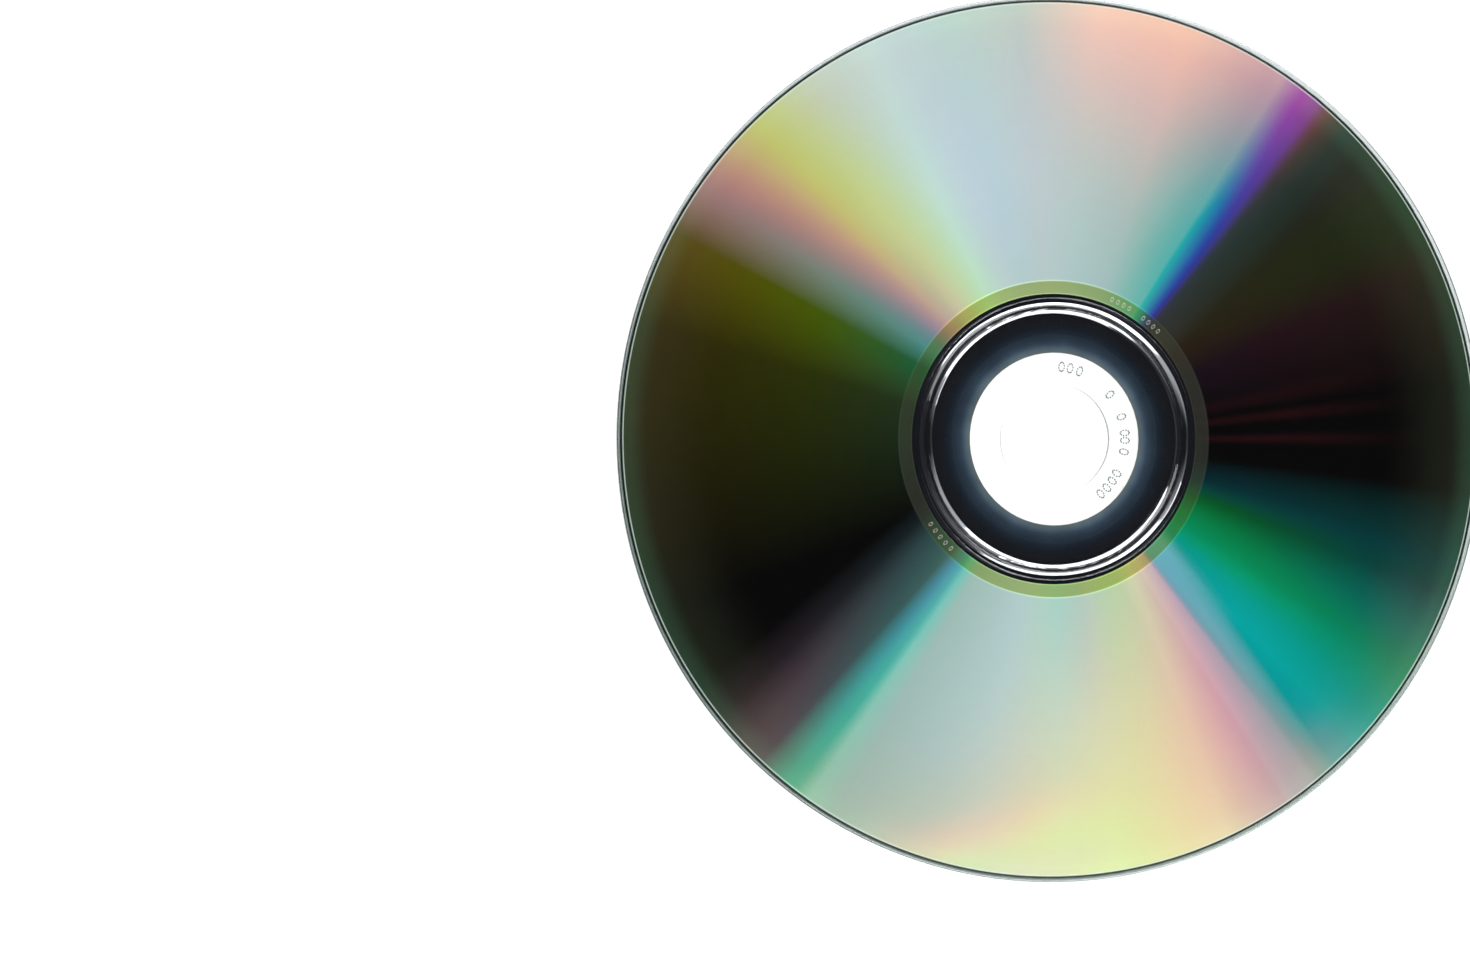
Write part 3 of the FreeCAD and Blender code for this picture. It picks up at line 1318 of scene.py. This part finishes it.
@dataclass
class PlateOutline:
    """The moulded plate's section, as corners of (radius, height) with the rounding of each.

    Attributes:
        bottom: height of its lower face.
        top: height of its upper face.
        outer_radius: the plate's radius.
        ring_top: height of the stacking ring's top.
        hole_radius: radius of the centre hole.
        hole_rounding: rounding of the hole's edges.
        rim_rounding: rounding of the rim's edges.
        ring_foot: radius where the stacking ring begins.
        ring_flank: width of each of its flanks.
        ring_crest: width of its top between the flanks.
        ring_rounding: rounding of the top's edges.
        crest_rise: how much higher the top's middle is than its edges.
        crest_rounding: rounding of the top's middle, which makes it a low dome.
        foot_rounding: rounding where the flanks meet the plate.
        witness_radius: radius of the fine groove round the ring.
        witness_width: its width.
        witness_depth: its depth.
        hold: how far past a rounding the flat beside it is held.
        WIDEST_HELD: the largest rounding whose width is counted for that.
        ROUNDING_REACH: how far along a side a rounding reaches, as a share of its radius.
        MOST_OF_SIDE: the most of a side that may lie between a corner and its held point.
    """

    bottom: float
    top: float
    outer_radius: float
    ring_top: float
    hole_radius: float = 7.5
    hole_rounding: float = 0.15
    rim_rounding: float = 0.2
    ring_foot: float = 17.1
    ring_flank: float = 0.3
    ring_crest: float = 0.78
    ring_rounding: float = 0.08
    crest_rise: float = 0.045
    crest_rounding: float = 1.6
    foot_rounding: float = 0.03
    witness_radius: float = 19.1
    witness_width: float = 0.09
    witness_depth: float = 0.01
    hold: float = 0.06

    WIDEST_HELD = 0.3
    ROUNDING_REACH = 1.1
    MOST_OF_SIDE = 0.45

    def corners(self) -> list[tuple[float, float, float]]:
        """Lists the corners.

        Returns:
            Each corner's radius, height and rounding, in order.
        """
        foot, crest = self.ring_foot, self.ring_foot + self.ring_flank
        crest_end = crest + self.ring_crest
        foot_end = crest_end + self.ring_flank
        witness, half = self.witness_radius, self.witness_width / 2
        return [
            (self.hole_radius, self.bottom, self.hole_rounding),
            (self.outer_radius, self.bottom, self.rim_rounding),
            (self.outer_radius, self.top, self.rim_rounding),
            (witness + half, self.top, 0.0),
            (witness, self.top - self.witness_depth, 0.0),
            (witness - half, self.top, 0.0),
            (foot_end, self.top, self.foot_rounding),
            (crest_end, self.ring_top - self.crest_rise, self.ring_rounding),
            ((crest + crest_end) / 2, self.ring_top, self.crest_rounding),
            (crest, self.ring_top - self.crest_rise, self.ring_rounding),
            (foot, self.top, self.foot_rounding),
            (self.hole_radius, self.top, self.hole_rounding),
        ]

    def held(self) -> list[tuple[float, float, float]]:
        """Adds a plain point on each side of a rounding, so that flats shade flat.

        Returns:
            Each point's radius, height and rounding, in order.
        """
        corners = self.corners()
        out = []
        for index, (radius, height, rounding) in enumerate(corners):
            here = Vector((radius, height))
            before = Vector(corners[index - 1][:2])
            after = Vector(corners[(index + 1) % len(corners)][:2])
            reach = min(rounding, self.WIDEST_HELD) * self.ROUNDING_REACH + self.hold
            out.append((*self.towards(here, before, reach), 0.0))
            out.append((radius, height, rounding))
            out.append((*self.towards(here, after, reach), 0.0))
        return out

    def towards(self, start: Vector, goal: Vector, reach: float) -> Point:
        """The point that lies reach away from start towards goal, or less far where the side is short."""
        way = goal - start
        return tuple(start + way * min(reach / way.length, self.MOST_OF_SIDE))


@dataclass
class ClearPlate:
    """The clear moulded plate, swept once round the axis from its rounded section.

    Attributes:
        outline: the section.
        turns: how many steps go once round.
        arc_points: how many points round a corner.
        path_radius: radius of the circle that the section is swept along.
        finish: the plate's finish.
    """

    outline: PlateOutline
    turns: int = 360
    arc_points: int = 5
    path_radius: float = 33.0
    finish: ClearPlastic = ClearPlastic()

    def section(self) -> bpy.types.Mesh:
        """Makes the section's mesh.

        Returns:
            A loop of edges with its heights downwards, because the sweep turns them over.
        """
        held = self.outline.held()
        points = [(radius * MM, -height * MM, 0.0) for radius, height, _ in held]
        edges = [(index, (index + 1) % len(held)) for index in range(len(held))]
        return base_mesh("plate_section", points, edges, "rounding", [corner[2] * MM for corner in held])

    def tree(self) -> Tree:
        """Builds the tree that rounds a section's corners and turns it about the axis.

        Returns:
            The Geometry Nodes tree.
        """
        wiring, given, out = geometry_tree("Turned section", {
            "Turns": ("Int", 64), "Arc points": ("Int", 4), "Finish": ("Material", None)})
        curve = wiring.node("GeometryNodeMeshToCurve")
        wiring.feed(curve.inputs["Mesh"], given["Geometry"])
        fillet = wiring.node("GeometryNodeFilletCurve", mode="POLY")
        wiring.feed(fillet.inputs["Curve"], curve.outputs["Curve"])
        wiring.feed(fillet.inputs["Count"], given["Arc points"])
        wiring.feed(fillet.inputs["Radius"], wiring.attribute("rounding"))
        fillet.inputs["Limit Radius"].default_value = True
        end_tree(wiring, self.swept(wiring, fillet.outputs["Curve"], given["Turns"]), given, out)
        return wiring.tree

    def swept(self, wiring: Wiring, section: Socket, turns: Socket) -> Socket:
        """Sweeps the section along a circle and shades it smooth.

        Args:
            wiring: the tree's wiring.
            section: the rounded section.
            turns: how many steps go once round.

        Returns:
            The plate's shape.
        """
        circle = wiring.node("GeometryNodeCurvePrimitiveCircle", mode="RADIUS")
        wiring.feed(circle.inputs["Resolution"], turns)
        circle.inputs["Radius"].default_value = self.path_radius * MM
        moved = wiring.node("GeometryNodeTransform")
        wiring.feed(moved.inputs["Geometry"], section)
        moved.inputs["Translation"].default_value = (-self.path_radius * MM, 0.0, 0.0)
        sweep = wiring.node("GeometryNodeCurveToMesh")
        wiring.feed(sweep.inputs["Curve"], circle.outputs["Curve"])
        wiring.feed(sweep.inputs["Profile Curve"], moved.outputs["Geometry"])
        outwards = wiring.node("GeometryNodeFlipFaces")
        wiring.feed(outwards.inputs["Mesh"], sweep.outputs["Mesh"])
        smooth = wiring.node("GeometryNodeSetShadeSmooth")
        wiring.feed(smooth.inputs["Geometry"], outwards.outputs["Mesh"])
        return smooth.outputs["Geometry"]

    def build(self, shop: Workshop) -> bpy.types.Object:
        """Builds the plate, which stands for the node substrate.

        Args:
            shop: the shared node groups.

        Returns:
            The plate.
        """
        values = {"Turns": self.turns, "Arc points": self.arc_points, "Finish": self.finish.make(shop)}
        plate = grown("clear_plate", self.section(), self.tree(), values)
        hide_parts("substrate")
        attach(plate, BODY)
        return plate


@dataclass
class Layer:
    """A film of the frame that keeps its shape and gets its finish.

    Attributes:
        node: the film's node.
        finish: its finish.
    """

    node: str
    finish: DyeAndPaintedRainbow | MirrorMetal | PrintableWhite

    def build(self, shop: Workshop) -> bpy.types.Object:
        """Dresses the node's object.

        Args:
            shop: the shared node groups.

        Returns:
            The object.
        """
        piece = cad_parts[self.node]
        piece.material_slots[0].material = self.finish.make(shop)
        return piece


@dataclass
class DottedMarks:
    """A row of generic code marks round the hub, each an upright oval of small round dots.

    Attributes:
        name: the row's name.
        radius: radius of the row's middle.
        level: height of the dots' middle above the table.
        height: height of a mark, along the radius.
        width: width of a mark.
        dots: how many dots a mark has.
        dot: radius of a dot.
        angles: where the marks are.
        finish: the dots' finish.
        thickness: thickness of a dot.
        dot_sides: how many sides a dot has.
    """

    name: str
    radius: float
    level: float
    height: float
    width: float
    dots: int
    dot: float
    angles: tuple[float, ...]
    finish: UnevenPaint
    thickness: float = 0.008
    dot_sides: int = 8

    def places(self) -> bpy.types.Mesh:
        """Makes the mesh of the marks' places.

        Returns:
            A mesh with a point for each mark and the angle that it is turned by, in radians.
        """
        turns = [math.radians(angle) for angle in self.angles]
        points = [(self.radius * MM * math.cos(turn), self.radius * MM * math.sin(turn), self.level * MM)
                  for turn in turns]
        return base_mesh(self.name + "_places", points, [], "turned", turns)

    def tree(self) -> Tree:
        """Builds the tree that sets an oval of dots on each point.

        Returns:
            The Geometry Nodes tree.
        """
        wiring, given, out = geometry_tree("Dotted marks", {
            "Height": ("Float", 0.001), "Width": ("Float", 0.001), "Dots": ("Int", 10),
            "Dot radius": ("Float", 0.0001), "Thickness": ("Float", 0.0001), "Finish": ("Material", None)})
        mark = self.mark(wiring, given)
        spots = wiring.node("GeometryNodeMeshToPoints")
        wiring.feed(spots.inputs["Mesh"], given["Geometry"])
        marks = self.set_on(wiring, spots.outputs["Points"], mark)
        angles = wiring.node("ShaderNodeCombineXYZ")
        wiring.feed(angles.inputs["Z"], wiring.attribute("turned"))
        rotation = wiring.node("FunctionNodeEulerToRotation")
        wiring.feed(rotation.inputs[0], angles.outputs["Vector"])
        wiring.feed(marks.inputs["Rotation"], rotation.outputs[0])
        solid = wiring.node("GeometryNodeRealizeInstances")
        wiring.feed(solid.inputs["Geometry"], marks.outputs["Instances"])
        end_tree(wiring, solid.outputs["Geometry"], given, out)
        return wiring.tree

    def mark(self, wiring: Wiring, given: Sockets) -> Socket:
        """Sets dots along an oval.

        Args:
            wiring: the tree's wiring.
            given: the tree's inputs.

        Returns:
            One mark, as instances of a dot.
        """
        circle = wiring.node("GeometryNodeCurvePrimitiveCircle", mode="RADIUS")
        wiring.feed(circle.inputs["Resolution"], given["Dots"])
        circle.inputs["Radius"].default_value = 0.5
        size = wiring.node("ShaderNodeCombineXYZ")
        wiring.feed(size.inputs["X"], given["Height"])
        wiring.feed(size.inputs["Y"], given["Width"])
        size.inputs["Z"].default_value = 1.0
        oval = wiring.node("GeometryNodeTransform")
        wiring.feed(oval.inputs["Geometry"], circle.outputs["Curve"])
        wiring.feed(oval.inputs["Scale"], size.outputs["Vector"])
        corners = wiring.node("GeometryNodeCurveToPoints", mode="EVALUATED")
        wiring.feed(corners.inputs["Curve"], oval.outputs["Geometry"])
        dot = wiring.node("GeometryNodeMeshCylinder")
        dot.inputs["Vertices"].default_value = self.dot_sides
        wiring.feed(dot.inputs["Radius"], given["Dot radius"])
        wiring.feed(dot.inputs["Depth"], given["Thickness"])
        return self.set_on(wiring, corners.outputs["Points"], dot.outputs["Mesh"]).outputs["Instances"]

    @staticmethod
    def set_on(wiring: Wiring, points: Socket, instance: Socket) -> bpy.types.Node:
        """Sets an instance on each point.

        Args:
            wiring: the tree's wiring.
            points: the points.
            instance: what is set on them.

        Returns:
            The node, which can still turn the instances.
        """
        made = wiring.node("GeometryNodeInstanceOnPoints")
        wiring.feed(made.inputs["Points"], points)
        wiring.feed(made.inputs["Instance"], instance)
        return made

    def build(self, shop: Workshop) -> bpy.types.Object:
        """Builds the row, which moves with the disc.

        Args:
            shop: the shared node groups.

        Returns:
            The row, as one piece.
        """
        values = {
            "Height": self.height * MM, "Width": self.width * MM, "Dots": self.dots,
            "Dot radius": self.dot * MM, "Thickness": self.thickness * MM, "Finish": self.finish.make(shop)}
        marks = grown(self.name, self.places(), self.tree(), values)
        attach(marks, BODY)
        return marks


@dataclass(frozen=True)
class Softbox:
    """A broad soft light that leans towards the disc, with its width along X.

    Attributes:
        name: its name.
        place: its middle.
        power: its power in watts.
        size: its width and height.
    """

    name: str
    place: Place
    power: float
    size: Point = (1170.0, 800.0)

    def hang(self) -> None:
        """Hangs it in the scene, where the camera doesn't see it."""
        data = bpy.data.lights.new(self.name, "AREA")
        data.shape = "RECTANGLE"
        data.size, data.size_y = self.size[0] * MM, self.size[1] * MM
        data.energy = self.power
        lamp = bpy.data.objects.new(self.name, data)
        lamp.visible_camera = False
        bpy.context.scene.collection.objects.link(lamp)
        _, y, z = self.place
        lamp.location = Vector(self.place) * MM
        lamp.rotation_euler = (-math.atan2(y, z), 0.0, 0.0)


@dataclass(frozen=True)
class Room:
    """A dim room: dark overhead, with the lights' spill at both sides, and paler to the horizon.

    Attributes:
        sky: the room's colours by height, from the horizon at 0 to straight overhead at 1.
        spill_height: the heights where the spill begins and where it is full.
        back_span: how far to the back the spill there begins and is full.
        back_spill: how bright it is.
        front_span: where the spill in front begins and is full, on the same scale, below 0.
        front_spill: how bright it is.
    """

    sky: tuple[tuple[float, Colour], ...] = (
        (0.0, (0.75, 0.76, 0.78)), (0.35, (0.40, 0.41, 0.43)), (0.80, (0.05, 0.05, 0.055)),
        (0.93, (0.022, 0.023, 0.027)), (1.0, (0.018, 0.019, 0.023)))
    spill_height: Span = (0.80, 0.95)
    back_span: Span = (0.05, 0.20)
    back_spill: float = 0.5
    front_span: Span = (-0.02, -0.18)
    front_spill: float = 1.0

    def build(self) -> None:
        """Makes it the scene's world."""
        world = bpy.data.worlds.new("room")
        bpy.context.scene.world = world
        world.use_nodes = True
        wiring = Wiring(world.node_tree)
        axes = wiring.axes(wiring.node("ShaderNodeTexCoord").outputs["Generated"])
        dark = wiring.ramp(axes["Z"], self.sky)
        overhead = wiring.step(axes["Z"], *self.spill_height)
        back = wiring.math("MULTIPLY", wiring.step(axes["Y"], *self.back_span), self.back_spill)
        glow = wiring.math("MULTIPLY_ADD", wiring.step(axes["Y"], *self.front_span), self.front_spill, back)
        spill = wiring.scaled(WHITE, wiring.math("MULTIPLY", glow, overhead))
        background = world.node_tree.nodes["Background"]
        wiring.feed(background.inputs["Color"], wiring.vector("ADD", dark, spill))


@dataclass(frozen=True)
class Studio:
    """The pale table, the two broad soft lights, the room and the camera of the photograph.

    Attributes:
        aim: the point on the table that the camera looks at.
        distance: from the camera to that point.
        tilt: how far the camera leans from straight above.
        bearing: the way that it leans, counter-clockwise from +X.
        focal_px: the lens's focal length in pixels of the frame.
        frame_px: the frame's width in pixels.
        sensor: the sensor's width.
        nearest: how near the camera can see.
        furthest: how far it can see.
        floor_radius: the table's radius.
        floor_sides: how many sides its edge has.
        floor_drop: how far the table lies under the disc, so that no two faces share one place.
        softboxes: the soft lights.
        room: the room round them.
    """

    aim: Point = (-43.81, -5.14)
    distance: float = 730.2
    tilt: float = 9.753
    bearing: float = 183.08
    focal_px: float = 5439.7
    frame_px: float = 1470.0
    sensor: float = 36.0
    nearest: float = 10.0
    furthest: float = 50000.0
    floor_radius: float = 4000.0
    floor_sides: int = 96
    floor_drop: float = 0.03
    softboxes: tuple[Softbox, ...] = (
        Softbox("back_softbox", (-170.0, 540.0, 720.0), 10.5),
        Softbox("front_softbox", (515.0, -520.0, 720.0), 13.0))
    room: Room = Room()

    def camera(self) -> None:
        """Sets up the camera."""
        tilt, bearing = math.radians(self.tilt), math.radians(self.bearing)
        aim = Vector((*self.aim, 0.0))
        lean = math.sin(tilt)
        away = Vector((lean * math.cos(bearing), lean * math.sin(bearing), math.cos(tilt)))
        forward = -away
        right = forward.cross(Vector((0.0, 1.0, 0.0))).normalized()
        up = right.cross(forward)
        data = bpy.data.cameras.new("camera")
        data.sensor_fit = "HORIZONTAL"
        data.sensor_width = self.sensor
        data.lens = self.focal_px / self.frame_px * self.sensor
        data.clip_start = self.nearest * MM
        data.clip_end = self.furthest * MM
        camera = bpy.data.objects.new("camera", data)
        bpy.context.scene.collection.objects.link(camera)
        turn = Matrix((right, up, -forward)).transposed()
        camera.matrix_world = Matrix.Translation((aim + away * self.distance) * MM) @ turn.to_4x4()
        bpy.context.scene.camera = camera

    def floor(self, shop: Workshop) -> None:
        """Lays the table under the disc.

        Args:
            shop: the shared node groups.
        """
        turns = [2 * math.pi * side / self.floor_sides for side in range(self.floor_sides)]
        ring = [(math.cos(turn) * self.floor_radius * MM, math.sin(turn) * self.floor_radius * MM,
                 -self.floor_drop * MM) for turn in turns]
        mesh = bpy.data.meshes.new("table")
        mesh.from_pydata(ring, [], [tuple(range(self.floor_sides))])
        mesh.materials.append(PALE_TABLE.make(shop))
        table = bpy.data.objects.new("table", mesh)
        bpy.context.scene.collection.objects.link(table)

    def build(self, shop: Workshop) -> None:
        """Builds the stage round the disc.

        Args:
            shop: the shared node groups.
        """
        self.camera()
        self.floor(shop)
        for softbox in self.softboxes:
            softbox.hang()
        self.room.build()
        bpy.context.scene.view_settings.view_transform = "Standard"


@dataclass(frozen=True)
class Disc:
    """The whole disc, as its pieces in the order that they are built.

    Attributes:
        plate_thickness: thickness of the moulded plate.
        plate_overlap: how deep the plate reaches into the dye, so that no gap shows between them.
        hub_mark_depth: how far the hub's marks lie below the level of the dye's upper face.
        band_mark_rise: how far the band's marks lie above that level, inside the plate.
    """

    plate_thickness: float = 1.2
    plate_overlap: float = 0.005
    hub_mark_depth: float = 0.008
    band_mark_rise: float = 0.006

    def builders(self) -> tuple[ClearPlate | Layer | DottedMarks, ...]:
        """Sets out the pieces by the sizes of the frame's nodes.

        Returns:
            The pieces' builders.
        """
        plate, dye, metal = (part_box(node)[1] / MM for node in ("substrate", "dye_layer", "metal_layer"))
        outline = PlateOutline(bottom=dye.z - self.plate_overlap, top=dye.z + self.plate_thickness,
                               outer_radius=plate.x, ring_top=plate.z)
        return (
            ClearPlate(outline, finish=ClearPlastic(rim_edge=metal.x)),
            Layer("dye_layer", DyeAndPaintedRainbow(outer_edge=dye.x)),
            Layer("metal_layer", MirrorMetal()),
            Layer("label_coat", PrintableWhite(coat_end=metal.x)),
            DottedMarks("hub_marks", radius=9.85, level=dye.z - self.hub_mark_depth,
                        height=1.25, width=0.75, dots=10, dot=0.10,
                        angles=(84, 77, 69, 38, 18, 5, -1, -10, -28, -35, -42, -49), finish=ETCHED_GREY),
            DottedMarks("band_marks", radius=20.6, level=dye.z + self.band_mark_rise,
                        height=0.6, width=0.36, dots=8, dot=0.055,
                        angles=(67, 64.5, 62, 59.5, 53, 50.5, 48, 45.5, -134, -137, -140, -143, -146),
                        finish=ETCHED_PALE),
        )


def main() -> None:
    """Builds the disc and its stage, in order."""
    logging.basicConfig(level=logging.INFO, format="%(message)s")
    shop = Workshop()
    for builder in Disc().builders():
        piece = builder.build(shop)
        LOG.info("%s: %d faces", piece.name, len(piece.data.polygons))
    Studio().build(shop)


if __name__ == "__main__":
    main()
